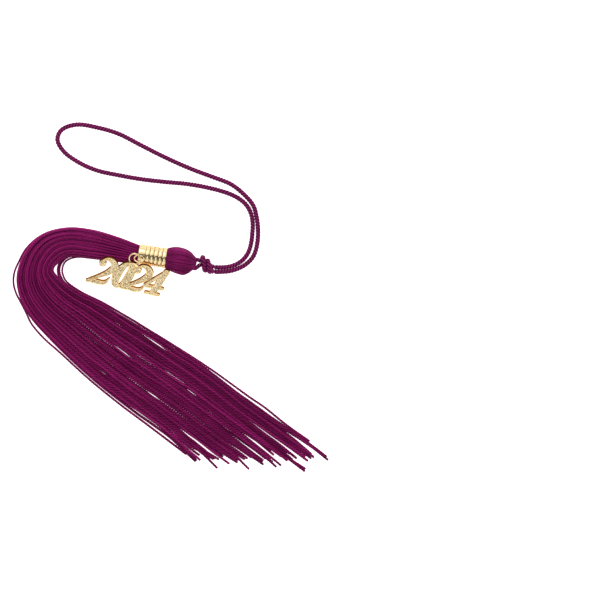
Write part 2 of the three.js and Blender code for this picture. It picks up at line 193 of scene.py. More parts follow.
class Rope:
    """Collects plied strands, in layout millimetres, into one mesh."""

    def __init__(self, plies, per_ply, lay, dip=0.34):
        self.sides = plies * per_ply
        self.lay = lay
        angle = 2 * np.pi * np.arange(self.sides) / self.sides
        bulge = np.abs(np.sin(plies * angle / 2))
        self.angle = angle
        self.profile = 1 - dip + dip * bulge ** 0.7
        # Painted shade: a value per vertex, low in the valleys between plies and high on their crowns, that
        # darkens the yarn's colour in the valleys
        self.bulge = bulge ** 1.4
        self.verts, self.faces, self.uvs, self.tones, self.ply_shades = [], [], [], [], []
        self.count = 0

    def add(self, points, radius, tone=0.5, turn=0.0, carried=False, step=None):
        pts, length = resample(points, step=step or self.lay / 9)
        n = len(pts)
        s = np.linspace(0, length, n)
        radii = np.atleast_1d(radius)
        r = np.interp(s / length, np.linspace(0, 1, len(radii)), radii)
        near = np.minimum(s, length - s)
        r = r * np.sqrt(np.clip(1 - (1 - np.clip(near / (r * END_ROUNDING + 1e-6), 0, 1)) ** 2, 0.02, 1))
        side, normal = (carried_frames if carried else flat_frames)(pts)
        spin = turn + 2 * np.pi * s / self.lay
        a = self.angle[None, :] + spin[:, None]
        rad = r[:, None] * self.profile[None, :]
        ring = (pts[:, None, :] + side[:, None, :] * (rad * np.cos(a))[..., None]
                + normal[:, None, :] * (rad * np.sin(a))[..., None])
        base, m = self.count, self.sides
        self.verts.append(ring.reshape(-1, 3))
        i = np.arange(n - 1)[:, None] * m
        k = np.arange(m)[None, :]
        k2 = (k + 1) % m
        quads = np.stack([base + i + k, base + i + m + k, base + i + m + k2, base + i + k2], axis=-1)
        quads = quads.reshape(-1, 4)
        self.faces.append(quads)
        self.uvs.append(np.stack(np.broadcast_arrays(k / m, s[:, None]), axis=-1).reshape(-1, 2))
        self.tones.append(np.full(n * m, tone))
        self.ply_shades.append(np.tile(self.bulge, n))
        self.count += n * m
        for end, order in ((0, 1), (n - 1, -1)):
            centre = pts[end]
            self.verts.append(centre[None, :])
            ids = base + end * m + np.arange(m)
            nxt = np.roll(ids, -1)
            tri = np.stack([np.full(m, self.count), ids, nxt], axis=-1)[:, ::order]
            self.faces.append(tri)
            self.uvs.append(np.array([[0.5, s[end]]]))
            self.tones.append(np.array([tone]))
            self.ply_shades.append(np.array([0.6]))
            self.count += 1
        return pts

    def build(self, name, place=from_layout):
        verts = place(np.concatenate(self.verts))
        quads = np.concatenate([f for f in self.faces if f.shape[1] == 4])
        tris = np.concatenate([f for f in self.faces if f.shape[1] == 3])
        mesh = bpy.data.meshes.new(name)
        mesh.vertices.add(len(verts))
        mesh.vertices.foreach_set("co", verts.astype(np.float32).ravel())
        loops = np.concatenate([quads.ravel(), tris.ravel()]).astype(np.int32)
        mesh.loops.add(len(loops))
        mesh.loops.foreach_set("vertex_index", loops)
        starts = np.concatenate([np.arange(len(quads)) * 4, len(quads) * 4 + np.arange(len(tris)) * 3])
        mesh.polygons.add(len(starts))
        mesh.polygons.foreach_set("loop_start", starts.astype(np.int32))
        mesh.update(calc_edges=True)
        mesh.validate()
        mesh.polygons.foreach_set("use_smooth", np.ones(len(mesh.polygons), bool))
        uv = np.concatenate(self.uvs)[loops]
        layer = mesh.uv_layers.new(name="along")
        layer.data.foreach_set("uv", uv.astype(np.float32).ravel())
        tone = mesh.attributes.new("tone", "FLOAT", "POINT")
        tone.data.foreach_set("value", np.concatenate(self.tones).astype(np.float32))
        ply_shade = mesh.attributes.new("ply_shade", "FLOAT", "POINT")
        ply_shade.data.foreach_set("value", np.concatenate(self.ply_shades).astype(np.float32))
        mesh.update()
        obj = bpy.data.objects.new(name, mesh)
        bpy.context.scene.collection.objects.link(obj)
        return obj


# ---------------------------------------------------------------- materials
# How much each thing sets the yarn's colour: the strand's tone, painted shade in the valleys between its
# plies (lighter on the ply crowns), its fibres and patches of the whole
TONE_SHARE, PLY_SHADE_SHARE, FIBRE_SHARE, PATCH_SHARE = 0.3, 0.62, 0.2, 0.14
SHEEN_TINT = (0.9, 0.3, 0.65, 1)
FIBRE_STRETCH = (60, 1.6, 1)
FIBRE_RELIEF = 0.00008
PATCH_SCALE = 160.0
METAL_TINT = (0.5, 0.3, 0.16, 1)
WEAR_SCALE = 900.0
WEAR_RELIEF = 0.00003
FLAKE_SCALE = 2600.0
FLAKE_RELIEF = 0.00012
FLAKE_SHADES = [(0.0, (0.16, 0.09, 0.03)), (0.25, (0.6, 0.44, 0.2)), (0.6, (0.92, 0.76, 0.43)),
                (1.0, (1.0, 0.93, 0.7))]


def material(name):
    mat = bpy.data.materials.new(name)
    mat.use_nodes = True
    nodes = mat.node_tree.nodes
    return mat, nodes, mat.node_tree.links, nodes["Principled BSDF"]


def add_node(nodes, kind, **values):
    node = nodes.new(kind)
    for key, value in values.items():
        if hasattr(node, key):
            setattr(node, key, value)
        else:
            node.inputs[key].default_value = value
    return node


def ramp(nodes, stops):
    node = nodes.new("ShaderNodeValToRGB")
    elements = node.color_ramp.elements
    while len(elements) < len(stops):
        elements.new(0.5)
    for element, (at, colour) in zip(elements, stops):
        element.position = at
        element.color = (*colour, 1)
    return node


def yarn_material(name, dark, mid, light):
    mat, nodes, links, shader = material(name)
    shader.inputs["Roughness"].default_value = 0.6
    shader.inputs["Specular IOR Level"].default_value = 0.1
    shader.inputs["Sheen Weight"].default_value = 0.02
    shader.inputs["Sheen Roughness"].default_value = 0.4
    shader.inputs["Sheen Tint"].default_value = SHEEN_TINT
    uv = nodes.new("ShaderNodeUVMap")
    uv.uv_map = "along"
    stretch = nodes.new("ShaderNodeMapping")
    stretch.inputs["Scale"].default_value = FIBRE_STRETCH
    links.new(uv.outputs["UV"], stretch.inputs["Vector"])
    fibre = add_node(nodes, "ShaderNodeTexNoise", Scale=1.0, Detail=3.0, Roughness=0.6)
    links.new(stretch.outputs["Vector"], fibre.inputs["Vector"])
    place = nodes.new("ShaderNodeTexCoord")
    patch = add_node(nodes, "ShaderNodeTexNoise", Scale=PATCH_SCALE, Detail=2.0)
    links.new(place.outputs["Object"], patch.inputs["Vector"])
    total = None
    for source, weight in (("tone", TONE_SHARE), ("ply_shade", PLY_SHADE_SHARE), (fibre, FIBRE_SHARE),
                           (patch, PATCH_SHARE)):
        if isinstance(source, str):
            reader = nodes.new("ShaderNodeAttribute")
            reader.attribute_name = source
            source = reader
        share = add_node(nodes, "ShaderNodeMath", operation="MULTIPLY_ADD")
        links.new(source.outputs["Fac"], share.inputs[0])
        share.inputs[1].default_value = weight
        share.inputs[2].default_value = 0.0
        if total:
            links.new(total.outputs[0], share.inputs[2])
        total = share
    shades = ramp(nodes, [(0.2, dark), (0.66, mid), (0.98, light)])
    links.new(total.outputs[0], shades.inputs["Fac"])
    links.new(shades.outputs["Color"], shader.inputs["Base Color"])
    bump = nodes.new("ShaderNodeBump")
    bump.inputs["Strength"].default_value = 0.35
    bump.inputs["Distance"].default_value = FIBRE_RELIEF
    links.new(fibre.outputs["Fac"], bump.inputs["Height"])
    links.new(bump.outputs["Normal"], shader.inputs["Normal"])
    return mat


def gold_material(name, base, roughness):
    mat, nodes, links, shader = material(name)
    shader.inputs["Metallic"].default_value = 1.0
    shader.inputs["Specular Tint"].default_value = METAL_TINT
    place = nodes.new("ShaderNodeTexCoord")
    wear = add_node(nodes, "ShaderNodeTexNoise", Scale=WEAR_SCALE, Detail=4.0, Roughness=0.65)
    links.new(place.outputs["Object"], wear.inputs["Vector"])
    tint = ramp(nodes, [(0.3, tuple(c * 0.86 for c in base)), (0.62, base)])
    links.new(wear.outputs["Fac"], tint.inputs["Fac"])
    links.new(tint.outputs["Color"], shader.inputs["Base Color"])
    spread = nodes.new("ShaderNodeMapRange")
    spread.inputs["To Min"].default_value = roughness * 0.8
    spread.inputs["To Max"].default_value = roughness * 1.5
    links.new(wear.outputs["Fac"], spread.inputs["Value"])
    links.new(spread.outputs["Result"], shader.inputs["Roughness"])
    bump = nodes.new("ShaderNodeBump")
    bump.inputs["Strength"].default_value = 0.06
    bump.inputs["Distance"].default_value = WEAR_RELIEF
    links.new(wear.outputs["Fac"], bump.inputs["Height"])
    links.new(bump.outputs["Normal"], shader.inputs["Normal"])
    return mat


def glitter_material():
    mat, nodes, links, shader = material("champagne_glitter")
    shader.inputs["Metallic"].default_value = 0.9
    place = nodes.new("ShaderNodeTexCoord")
    flake = add_node(nodes, "ShaderNodeTexVoronoi", Scale=FLAKE_SCALE)
    links.new(place.outputs["Object"], flake.inputs["Vector"])
    pick = nodes.new("ShaderNodeSeparateColor")
    links.new(flake.outputs["Color"], pick.inputs["Color"])
    shades = ramp(nodes, FLAKE_SHADES)
    links.new(pick.outputs["Red"], shades.inputs["Fac"])
    links.new(shades.outputs["Color"], shader.inputs["Base Color"])
    rough = nodes.new("ShaderNodeMapRange")
    rough.inputs["To Min"].default_value = 0.15
    rough.inputs["To Max"].default_value = 0.5
    links.new(pick.outputs["Green"], rough.inputs["Value"])
    links.new(rough.outputs["Result"], shader.inputs["Roughness"])
    bump = nodes.new("ShaderNodeBump")
    bump.inputs["Strength"].default_value = 0.8
    bump.inputs["Distance"].default_value = FLAKE_RELIEF
    links.new(pick.outputs["Blue"], bump.inputs["Height"])
    links.new(bump.outputs["Normal"], shader.inputs["Normal"])
    return mat


# Painted shade: the head's folded yarn is a darker copy of the fringe yarn
FOLD_SHADED = yarn_material("plum_yarn_folded_shaded", (0.008, 0.0002, 0.003), (0.14, 0.001, 0.06), (0.4, 0.016, 0.19))
YARN = yarn_material("plum_yarn", (0.012, 0.0002, 0.004), (0.175, 0.0012, 0.075), (0.45, 0.018, 0.21))
CORD = yarn_material("plum_cord", (0.01, 0.0002, 0.003), (0.12, 0.002, 0.052), (0.33, 0.025, 0.18))
# Painted shade: the head's inside is the same yarn, made far darker to stand for the shade between the
# strands
CORE_SHADE = yarn_material("plum_yarn_inside_painted_shade", (0.03, 0.0005, 0.012), (0.05, 0.001, 0.022), (0.08, 0.003, 0.035))
GOLD = gold_material("polished_gold", (0.84, 0.66, 0.36), 0.11)
GOLD_CAST = gold_material("cast_gold", (1.0, 0.74, 0.36), 0.16)
# Painted shade: dark gold for the charm's walls and recess floors and the ferrule's groove bottoms
GOLD_SHADE = gold_material("cast_gold_painted_shade", (0.28, 0.11, 0.022), 0.3)
GLITTER = glitter_material()


# ---------------------------------------------------------------- camera and light
# Straight above the table, in metres, with a long lens
CAMERA_PLACE = (0.06757, 0.02228, 3.0)
CAMERA_LENS = 360
CAMERA_SENSOR = 36
CAMERA_REACH = 20

# Brightness round the table, by the angle in degrees from overhead towards the back
SKY_BANDS = [(-120, 0.6), (-95, 0.8), (-80, 1.25), (-12, 1.2), (-5, 0.12), (3, 0.12),
             (13, 1.2), (92, 1.2), (100, 0.2)]
# Where the sides are as bright as the middle, by the same angle
SIDES_LIT = [(-62, 1), (-44, 0), (-2, 0), (2, 1)]
# Elsewhere the light fades from the middle to the sides
SIDE_FADE = (("From Min", 0.26), ("From Max", 0.46), ("To Min", 1.0), ("To Max", 0.12))

# Metres and watts
SOFTBOX_PLACE, SOFTBOX_TARGET = (-0.35, 1.1, 1.0), (0, 0.02, 0)
SOFTBOX_SIZE, SOFTBOX_POWER = (1.0, 0.8), 6
FLOOR_REACH, FLOOR_LEVEL = 4, -0.0004


def make_camera():
    data = bpy.data.cameras.new("camera")
    data.lens = CAMERA_LENS
    data.sensor_width = CAMERA_SENSOR
    cam = bpy.data.objects.new("camera", data)
    cam.location = CAMERA_PLACE
    data.clip_end = CAMERA_REACH
    bpy.context.scene.collection.objects.link(cam)
    bpy.context.scene.camera = cam


def area_light(name, place, target, size, power):
    data = bpy.data.lights.new(name, "AREA")
    data.shape = "RECTANGLE"
    data.size, data.size_y = size
    data.energy = power
    obj = bpy.data.objects.new(name, data)
    bpy.context.scene.collection.objects.link(obj)
    obj.location = place
    way = np.asarray(target, float) - np.asarray(place, float)
    obj.rotation_euler = Vector(way).to_track_quat("-Z", "Y").to_euler()


def band_ramp(nodes, bands):
    """Ramp over a full turn, from bands of (degrees, level)."""
    return ramp(nodes, [(0.5 + degrees / 360, (level, level, level)) for degrees, level in bands])


def make_sky():
    """A studio round the table: bright front and back, and a dim strip overhead."""
    world = bpy.data.worlds.new("studio")
    bpy.context.scene.world = world
    world.use_nodes = True
    nodes, links = world.node_tree.nodes, world.node_tree.links
    where = nodes.new("ShaderNodeTexCoord")
    split = nodes.new("ShaderNodeSeparateXYZ")
    links.new(where.outputs["Generated"], split.inputs["Vector"])
    angle = add_node(nodes, "ShaderNodeMath", operation="ARCTAN2")
    links.new(split.outputs["Y"], angle.inputs[0])
    links.new(split.outputs["Z"], angle.inputs[1])
    share = add_node(nodes, "ShaderNodeMath", operation="MULTIPLY_ADD")
    links.new(angle.outputs[0], share.inputs[0])
    share.inputs[1].default_value = 0.5 / math.pi
    share.inputs[2].default_value = 0.5
    light = band_ramp(nodes, SKY_BANDS)
    links.new(share.outputs[0], light.inputs["Fac"])
    aside = add_node(nodes, "ShaderNodeMath", operation="ABSOLUTE")
    links.new(split.outputs["X"], aside.inputs[0])
    flags = nodes.new("ShaderNodeMapRange")
    for key, value in SIDE_FADE:
        flags.inputs[key].default_value = value
    links.new(aside.outputs[0], flags.inputs["Value"])
    front = band_ramp(nodes, SIDES_LIT)
    links.new(share.outputs[0], front.inputs["Fac"])
    open_side = add_node(nodes, "ShaderNodeMath", operation="MAXIMUM")
    links.new(flags.outputs["Result"], open_side.inputs[0])
    links.new(front.outputs["Color"], open_side.inputs[1])
    total = add_node(nodes, "ShaderNodeMath", operation="MULTIPLY")
    links.new(light.outputs["Color"], total.inputs[0])
    links.new(open_side.outputs[0], total.inputs[1])
    links.new(total.outputs[0], nodes["Background"].inputs["Color"])
    nodes["Background"].inputs["Strength"].default_value = 1.0


def make_studio():
    make_sky()
    scene = bpy.context.scene
    scene.view_settings.view_transform = "Standard"
    scene.view_settings.look = "None"
    area_light("back_softbox", SOFTBOX_PLACE, SOFTBOX_TARGET, SOFTBOX_SIZE, SOFTBOX_POWER)
    corners = [(-1, -1), (1, -1), (1, 1), (-1, 1)]
    verts = [(x * FLOOR_REACH, y * FLOOR_REACH, FLOOR_LEVEL) for x, y in corners]
    floor = new_object("floor", verts, [(0, 1, 2, 3)], smooth=False)
    mat, _, _, shader = material("pale_floor")
    shader.inputs["Base Color"].default_value = (0.9, 0.9, 0.9, 1)
    shader.inputs["Roughness"].default_value = 0.9
    shader.inputs["Specular IOR Level"].default_value = 0.1
    shader.inputs["Emission Color"].default_value = (1, 1, 1, 1)
    shader.inputs["Emission Strength"].default_value = 1.0
    floor.data.materials.append(mat)


make_camera()
make_studio()

# ---------------------------------------------------------------- cord: loop, eye and knot
CORD_STEPS = 1200
CORD_RAISE = np.array([0, 0, 0.15])
HANGING_ROUTE = [
    [21.2, 42.7, 2.6], [26, 42.6, 1.4], [30.4, 43.35, 1.06], [34.8, 45.6, 1.06], [38, 49.3, 1.06],
    [39.7, 54.2, 1.06], [40.4, 59.7, 1.06], [40.6, 64.6, 1.06], [39.8, 69.2, 1.06], [37.8, 73.2, 1.06],
    [34.6, 76.3, 1.06], [29.3, 79.2, 1.06], [19.5, 82.1, 1.06], [8, 84.2, 1.06], [-3.5, 85.3, 1.06],
    [-14.8, 86.6, 1.06], [-26.3, 88.6, 1.06], [-37.8, 91.2, 1.06], [-47.5, 95.7, 1.06], [-54.3, 101, 1.06],
    [-57, 106.5, 1.06], [-55, 111.2, 1.06], [-47.5, 113.9, 1.06], [-36, 112.2, 1.06], [-26.4, 109.3, 1.06],
    [-15, 103.5, 1.06], [-3.5, 97.7, 1.06], [9.8, 91.8, 1.06], [21.3, 87.5, 1.06], [29.6, 84.2, 1.06],
    [36.1, 79.2, 1.06], [40.9, 73.5, 1.06], [42.6, 67.6, 1.06], [43.3, 61.2, 1.06], [42.9, 54.5, 1.06],
    [41, 48.2, 1.06], [36.8, 43.8, 1.06], [30.8, 41.1, 1.06], [26, 40.4, 1.4], [21.2, 40.3, 2.6],
]
EYE_ROUTE = [
    [31.4, 1.25], [30.2, 1.45], [28.9, 1.6], [27.6, 1.5], [26.6, 0.7], [26.2, -0.5],
    [26.5, -1.9], [27.6, -2.9], [28.9, -2.85], [30.2, -1.7], [31.7, -0.1],
]
KNOT_CENTRE = np.array([17.5, 43.9, 4.75])
KNOT_TURN = heading_matrix(math.radians(-24))
EYE_THINNING, KNOT_SWELLING = 0.92, 1.05


def cord_rope():
    return Rope(plies=3, per_ply=5, lay=4.5, dip=0.27)


def make_cord():
    rope = cord_rope()
    centre = rope.add(spline(HANGING_ROUTE, CORD_STEPS) + CORD_RAISE, CORD_RADIUS)
    loop = finish_piece(rope.build("hanging_cord_rope"), "cord", CORD, ["hanging_cord"])
    eye = cord_rope()
    route = [[x, y, 0] for x, y in EYE_ROUTE]
    eye.add(spline(route, 200), CORD_RADIUS * EYE_THINNING, carried=True, turn=0.6)
    finish_piece(eye.build("cord_eye_rope", from_ferrule), "cord", CORD, ["cord_eye"])


CORE_ROUTES = [
    [[14.6, 45.8, 6.2], [16.0, 45.4, 5.9], [18.2, 44.3, 4.6], [20.2, 43.1, 3.1], [21.5, 42.7, 2.55]],
    [[14.9, 44.4, 6.2], [16.2, 43.6, 5.7], [18.2, 42.2, 4.3], [20.1, 40.8, 3.1], [21.5, 40.3, 2.55]],
]
KNOT_LENGTH = 5.4
KNOT_TURNS = 2
COIL_RADII = [0.6, 2.3, 2.85, 2.6, 2.85, 2.5, 2.0, 2.3, 2.7, 2.2, 0.6]
COIL_SLANT = 0.44


def make_knot():
    rope = cord_rope()
    t = np.linspace(0, 1, 240)
    angle = np.pi * (2 * KNOT_TURNS * t - 0.5)
    radius = spline([[r, 0, 0] for r in COIL_RADII], len(t))[:, 0]
    along = -KNOT_LENGTH / 2 + KNOT_LENGTH * t - COIL_SLANT * radius * np.cos(angle)
    coil = np.stack([along, radius * np.cos(angle), radius * np.sin(angle)], axis=1)
    rope.add(coil @ KNOT_TURN.T + KNOT_CENTRE, CORD_RADIUS * KNOT_SWELLING, carried=True)
    for route in CORE_ROUTES:
        rope.add(spline(route, 60), CORD_RADIUS * KNOT_SWELLING)
    finish_piece(rope.build("cord_knot_rope"), "cord", CORD, ["cord_knot"])


make_cord()
make_knot()

# ---------------------------------------------------------------- yarn head and its binding
HEAD_PROFILE = [
    # along the axis, reach to one side, reach to the other
    [13.4, 4.3, 4.3], [14.0, 4.75, 4.7], [15.3, 5.45, 5.3], [18.7, 6.1, 6.2], [21.0, 6.05, 6.65],
    [23.5, 5.6, 6.75], [25.8, 4.6, 5.6], [27.2, 3.5, 4.3], [28.3, 2.5, 2.9], [29.0, 1.7, 1.9],
]
HEAD_STRANDS = 84
HEAD_STRAND_LIMITS = (0.25, 0.44)
HEAD_OVERLAP = 1.7
SWAY_BROAD, SWAY_FINE = 0.16, 0.1
CORE_SIDES = 48
CORE_DEPTH = 0.08
CORE_CLEARANCE = 0.3
CORE_BACK = [[6.3, 0.3, 0.3], [6.3, 3.8, 3.8]]
CORE_TIP = [[29.3, 0.4, 0.4]]
BINDING_FROM, BINDING_LENGTH, BINDING_RADIUS = 7.4, 4.1, 4.23
BINDING_TURNS, BINDING_THREAD = 10, 0.2


def head_point(row, angle, depth=0.0):
    """A point on the head's skin at an angle round its axis."""
    reach = row[1] + (row[2] - row[1]) * (1 - np.cos(angle)) / 2 - depth
    return reach * np.cos(angle), reach * np.sin(angle) * HEAD_FLATTENING


def make_head():
    rope = Rope(plies=3, per_ply=3, lay=1.6)
    profile = spline(HEAD_PROFILE, 90)
    u = np.linspace(0, 1, len(profile))
    for k in range(HEAD_STRANDS):
        angle0 = 2 * np.pi * (k + rng.uniform(-0.3, 0.3)) / HEAD_STRANDS
        sway = SWAY_BROAD * np.sin(2 * angle0 + 1) + SWAY_FINE * np.sin(5 * angle0) + rng.uniform(-0.03, 0.03)
        angle = angle0 + sway * np.sin(np.pi * u) + 0.02 * np.sin(2.6 * np.pi * u + rng.uniform(0, 6))
        lift = rng.uniform(-0.1, 0.08) + rng.uniform(-0.08, 0.08) * np.sin(np.pi * u)
        mean = (profile[:, 1] + profile[:, 2]) / 2
        strand = np.clip(HEAD_OVERLAP * np.pi * mean / HEAD_STRANDS, *HEAD_STRAND_LIMITS)
        y, z = head_point(profile.T, angle, -lift)
        z = np.maximum(z, strand - RIM_CENTRE[2] + 0.02)
        rope.add(np.stack([profile[:, 0], y, z], axis=1), strand, tone=rng.uniform(0, 1),
                 turn=rng.uniform(0, 6), carried=True)
    obj = rope.build("head_yarn", from_ferrule)
    finish_piece(obj, "tassel_body", FOLD_SHADED, ["tassel_head"])


def make_head_core():
    """Closed bulb just under the head's strands, so that nothing shows between them; its very dark yarn
    colour is painted shade.
    """
    core = bmesh.new()
    rings = []
    for row in CORE_BACK + HEAD_PROFILE + CORE_TIP:
        ring = []
        for j in range(CORE_SIDES):
            y, z = head_point(row, 2 * math.pi * j / CORE_SIDES, CORE_DEPTH)
            z = max(z, CORE_CLEARANCE - RIM_CENTRE[2])
            ring.append(core.verts.new(tuple(from_ferrule([row[0], y, z]))))
        rings.append(ring)
    for one, two in zip(rings, rings[1:]):
        for j in range(CORE_SIDES):
            k = (j + 1) % CORE_SIDES
            core.faces.new((one[j], two[j], two[k], one[k]))
    core.faces.new(rings[0][::-1])
    core.faces.new(rings[-1])
    bmesh.ops.recalc_face_normals(core, faces=core.faces)
    mesh = bpy.data.meshes.new("head_core")
    core.to_mesh(mesh)
    core.free()
    mesh.polygons.foreach_set("use_smooth", [True] * len(mesh.polygons))
    obj = bpy.data.objects.new("head_core", mesh)
    bpy.context.scene.collection.objects.link(obj)
    finish_piece(obj, "tassel_body", CORE_SHADE)


def make_binding():
    rope = Rope(plies=3, per_ply=3, lay=1.2)
    t = np.linspace(0, 1, 900)
    angle = 2 * np.pi * BINDING_TURNS * t
    coil = np.stack([BINDING_FROM + BINDING_LENGTH * t, BINDING_RADIUS * np.cos(angle),
                     BINDING_RADIUS * np.sin(angle)], axis=1)
    rope.add(coil, BINDING_THREAD, carried=True, step=0.3)
    finish_piece(rope.build("neck_thread", from_ferrule), "tassel_body", YARN, ["neck_binding"])


make_head()
make_head_core()
make_binding()


# ---------------------------------------------------------------- ferrule and rings
BEAD_PITCH = (FERRULE_LENGTH - BAND_LENGTH) / BEAD_COUNT
BEAD_STEPS = 12
BEAD_SWELL, BEAD_ROUNDNESS = 0.05, 0.55
# Rounded rim of the band, as (along the axis, radius)
BAND_RIM = [(0.0, BORE_RADIUS + 0.05), (0.02, FERRULE_RADIUS - 0.16), (0.06, FERRULE_RADIUS - 0.05),
            (0.16, FERRULE_RADIUS), (0.5, FERRULE_RADIUS)]
BAND_MIDDLE = np.linspace(0.8, BAND_LENGTH - 0.5, 6)
BAND_END = (BAND_LENGTH - 0.22, FERRULE_RADIUS - 0.02)
BORE_ENDS = [(FERRULE_LENGTH, BORE_RADIUS + 0.02), (FERRULE_LENGTH - 0.1, BORE_RADIUS)]
BORE_MIDDLE = np.linspace(FERRULE_LENGTH - 1, 1, 8)
BORE_RIM = (0.08, BORE_RADIUS)


def ferrule_outside():
    """Outer profile from the rim: the plain band, then the beads."""
    points = BAND_RIM + [(along, FERRULE_RADIUS) for along in BAND_MIDDLE] + [BAND_END]
    for bead in range(BEAD_COUNT):
        start = BAND_LENGTH + bead * BEAD_PITCH
        for part in np.linspace(0, 1, BEAD_STEPS + 1)[(0 if bead == 0 else 1):]:
            swell = math.sin(math.pi * part) ** BEAD_ROUNDNESS
            radius = FERRULE_RADIUS + BEAD_SWELL - GROOVE_DEPTH * (1 - swell)
            points.append((start + part * BEAD_PITCH, radius))
    return points


def is_groove(one, two):
    """Whether a stretch of the outer profile lies at the bottom of a groove."""
    from_groove = ((one[0] + two[0]) / 2 - BAND_LENGTH) % BEAD_PITCH
    near = min(from_groove, BEAD_PITCH - from_groove) < 0.6 * BEAD_PITCH / BEAD_STEPS
    return one[0] > BAND_LENGTH - 0.3 and near


def make_drill():
    """The cylinder that cuts the jump ring's hole."""
    verts = []
    for z in HOLE_DRILL:
        for j in range(HOLE_SIDES):
            a = 2 * math.pi * j / HOLE_SIDES
            x, y = HOLE_RADIUS * math.cos(a) + HOLE_FROM_RIM, HOLE_RADIUS * math.sin(a)
            verts.append((x, y * math.cos(HOLE_ANGLE) - z * math.sin(HOLE_ANGLE),
                          y * math.sin(HOLE_ANGLE) + z * math.cos(HOLE_ANGLE)))
    faces = [(j, (j + 1) % HOLE_SIDES, HOLE_SIDES + (j + 1) % HOLE_SIDES, HOLE_SIDES + j)
             for j in range(HOLE_SIDES)]
    faces += [tuple(range(HOLE_SIDES))[::-1], tuple(range(HOLE_SIDES, 2 * HOLE_SIDES))]
    return new_object("drill", from_ferrule(verts), faces, smooth=False)


def make_ferrule():
    outside = ferrule_outside()
    profile = outside + BORE_ENDS + [(along, BORE_RADIUS) for along in BORE_MIDDLE] + [BORE_RIM]
    sides = FERRULE_SIDES
    verts, faces = [], []
    for s, r in profile:
        for j in range(sides):
            a = 2 * math.pi * j / sides
            verts.append((s, r * math.cos(a), r * math.sin(a)))
    n = len(profile)
    for i in range(n):
        for j in range(sides):
            a, b = i * sides + j, i * sides + (j + 1) % sides
            c, d = ((i + 1) % n) * sides + (j + 1) % sides, ((i + 1) % n) * sides + j
            faces.append((a, d, c, b))
    shell = new_object("ferrule_shell", from_ferrule(verts), faces)
    shell.data.materials.append(GOLD)
    shell.data.materials.append(GOLD_SHADE)
    # Painted shade: the faces at the bottom of each groove take the dark gold
    for i, (one, two) in enumerate(zip(outside, outside[1:])):
        if is_groove(one, two):
            for face in shell.data.polygons[i * sides:(i + 1) * sides]:
                face.material_index = 1
    drill = make_drill()
    cut = shell.modifiers.new("hole", "BOOLEAN")
    cut.object = drill
    cut.operation = "DIFFERENCE"
    cut.solver = "EXACT"
    bpy.context.view_layer.update()
    done = bpy.data.meshes.new_from_object(shell.evaluated_get(bpy.context.evaluated_depsgraph_get()))
    shell.modifiers.clear()
    shell.data = done
    bpy.data.objects.remove(drill)
    finish_piece(shell, "tassel_body", None, ["ferrule"])


def wire_ring(name, radius, wire, stretch, split, place):
    """A bent wire ring in its own plane, closed, or open by split radians."""
    around, section = WIRE_STEPS, WIRE_SIDES
    start = split / 2
    count = around if split == 0 else around + 1
    verts, faces = [], []
    for i in range(count):
        a = start + (2 * math.pi - split) * i / around
        c, s = math.cos(a), math.sin(a)
        for j in range(section):
            b = 2 * math.pi * j / section
            r = radius + wire * math.cos(b)
            verts.append((r * c, r * s * stretch, wire * math.sin(b)))
    for i in range(around):
        for j in range(section):
            k = (i + 1) % count
            a, b = i * section + j, i * section + (j + 1) % section
            faces.append((a, k * section + j, k * section + (j + 1) % section, b))
    if split:
        faces.append(tuple(range(section)))
        faces.append(tuple(range(around * section, around * section + section))[::-1])
    return new_object(name, place(np.array(verts)), faces)


def make_rings():
    wall = (FERRULE_RADIUS + BORE_RADIUS) / 2
    centre = np.array([JUMP_RING_FROM_RIM, -wall * math.sin(HOLE_ANGLE), wall * math.cos(HOLE_ANGLE)])
    centre = centre + JUMP_RING_RISE * np.array([0, -math.sin(JUMP_RING_LEAN), math.cos(JUMP_RING_LEAN)])
    upright = tilt_matrix(JUMP_RING_LEAN) @ tilt_matrix(math.pi / 2)
    ring = wire_ring("jump_ring_wire", JUMP_RING_RADIUS, JUMP_WIRE_RADIUS, 1, JUMP_RING_SPLIT,
                     lambda v: from_ferrule(v @ upright.T + centre))
    finish_piece(ring, "jump_ring", GOLD, ["jump_ring"])
    bail = wire_ring("charm_bail", BAIL_RADIUS, BAIL_WIRE_RADIUS, BAIL_STRETCH, 0,
                     lambda v: from_charm(v + BAIL_CENTRE))
    finish_piece(bail, "charm", GOLD)


make_ferrule()
make_rings()

# ---------------------------------------------------------------- charm
TWO_STROKES = [
    [[6.5, 13.9, 0.55], [8.9, 15.75, 0.75], [12.0, 15.0, 1.45], [13.3, 11.9, 1.85],
     [10.8, 8.3, 1.5], [6.4, 4.8, 1.0], [2.0, 1.7, 0.8]],
    [[7.0, 12.6, 1.75], [7.3, 12.8, 1.75]],
    [[1.0, 0.95, 0.85], [4.6, 1.35, 1.2], [8.4, 1.25, 1.2], [10.3, 2.3, 0.8], [11.7, 4.6, 0.35]],
]
FOUR_STROKES = [
    [[39.4, 15.3, 0.9], [34.2, 9.9, 0.95], [29.8, 5.1, 0.9]],
    [[29.8, 4.8, 0.9], [34.2, 4.8, 0.95], [38.8, 4.8, 0.9]],
    [[39.2, 14.9, 1.6], [36.6, 7.9, 1.75], [34.4, 1.6, 1.6]],
    [[30.8, 0.85, 0.8], [34.2, 0.85, 0.85], [37.4, 0.85, 0.8]],
]
LUG_STROKE = [[20.6, 15.4, 0.75], [22.7, 15.7, 0.8], [25.0, 14.6, 0.75]]
ZERO_CENTRE, ZERO_SIZE, ZERO_SLOT, ZERO_SLANT = (18.4, 8.25), (5.3, 8.2), (0.75, 5.7), 0.27
CHARM_GRID = 0.11
RIM_WIDTH = 0.46
RIM_TOP = 0.8
RIM_ROUNDING = 0.16
RECESS_WALL = 0.12
RECESS_FLOOR = 0.3
LUG_TOP = 0.45
GLITTER_GRID = 0.3
GLITTER_TOP = 0.6
GLITTER_SINK = 0.05
